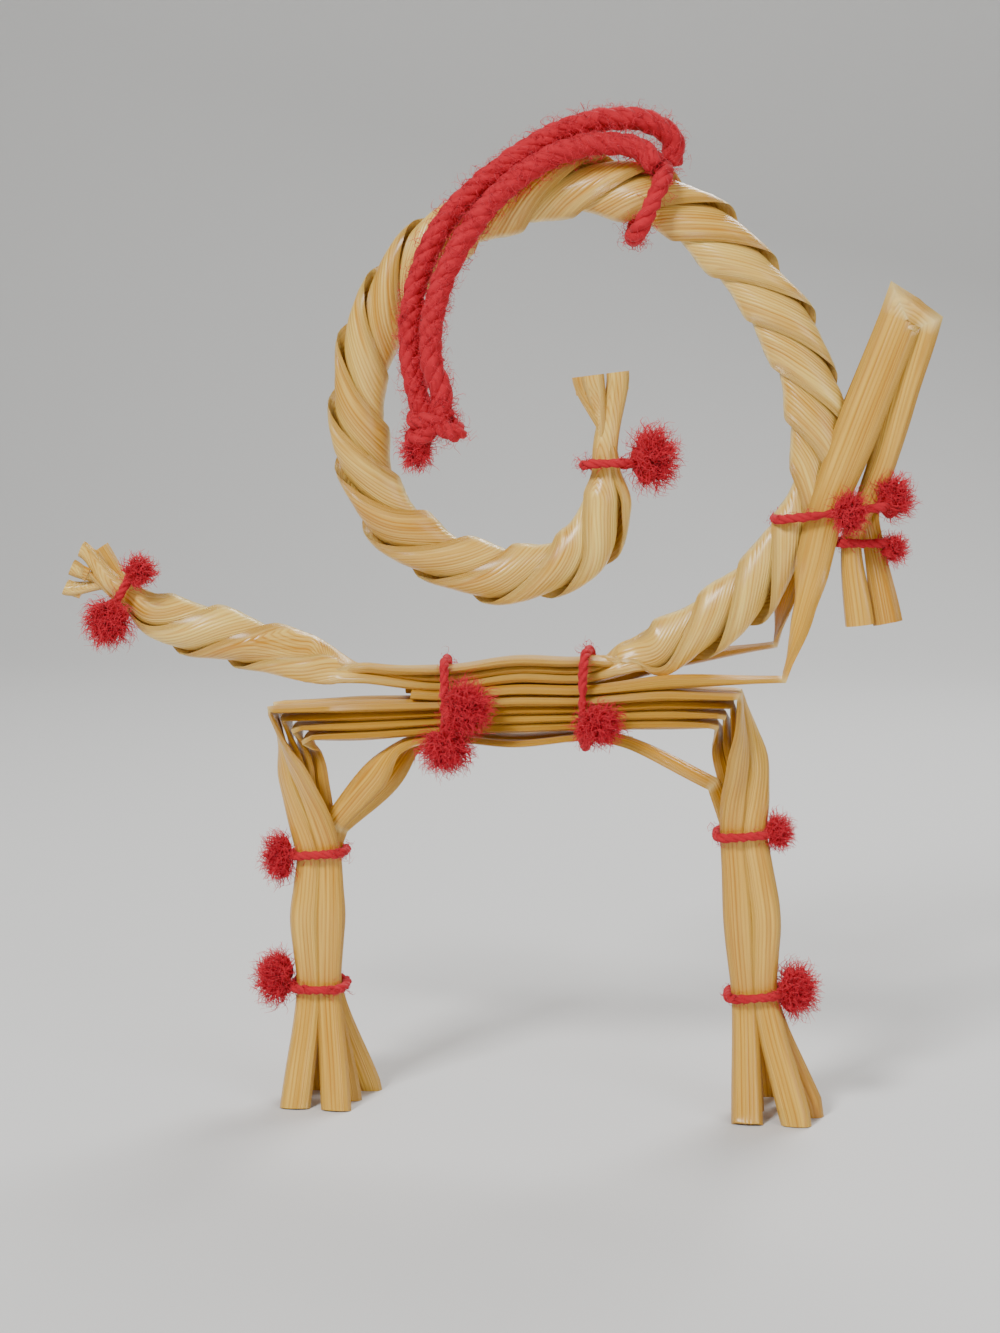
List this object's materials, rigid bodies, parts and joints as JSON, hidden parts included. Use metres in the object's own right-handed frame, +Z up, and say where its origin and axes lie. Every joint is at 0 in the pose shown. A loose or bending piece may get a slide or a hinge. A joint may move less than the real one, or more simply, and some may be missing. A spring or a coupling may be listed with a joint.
{
  "type": "straw goat ornament",
  "caption": "Standing goat of folded and plaited straw tied with red wool yarn, with a large plaited ring horn, plaited tail and a slack yarn hanging loop.",
  "frame": {"origin": "ground level under the middle of the goat's bounding box, hanging loop left out", "axes": "+X the way the goat looks, +Z up, -Y the goat's near side, on which the yarn tufts of the body lie"},
  "size_m": [0.0976, 0.0131, 0.1106],
  "materials": {
    "golden_straw": "glossy dried cereal straw",
    "pale_straw": "glossy dried cereal straw, paler",
    "red_wool": "fluffy wool yarn"
  },
  "bodies": {
    "root": {"leg_straw_1": "golden_straw", "leg_straw_2": "golden_straw", "leg_straw_3": "golden_straw", "leg_straw_4": "golden_straw", "leg_straw_5": "golden_straw", "brace_straw_long": "golden_straw", "brace_straw_short": "golden_straw", "neck_straw_near": "golden_straw", "neck_straw_far": "golden_straw", "plait_straw_1": "pale_straw", "plait_straw_2": "pale_straw", "plait_straw_3": "pale_straw", "tail_filler_straw": "pale_straw", "tie_tail": "red_wool", "tie_belly_rear": "red_wool", "tie_belly_front": "red_wool", "tie_rear_leg_upper": "red_wool", "tie_rear_leg_lower": "red_wool", "tie_front_leg_upper": "red_wool", "tie_front_leg_lower": "red_wool", "tie_head": "red_wool", "tie_beard": "red_wool", "tie_horn_tip": "red_wool", "hanger_hitch": "red_wool", "hanger_strand_outer": "red_wool", "hanger_strand_inner": "red_wool", "hanger_knot": "red_wool"}
  },
  "joints": []
}
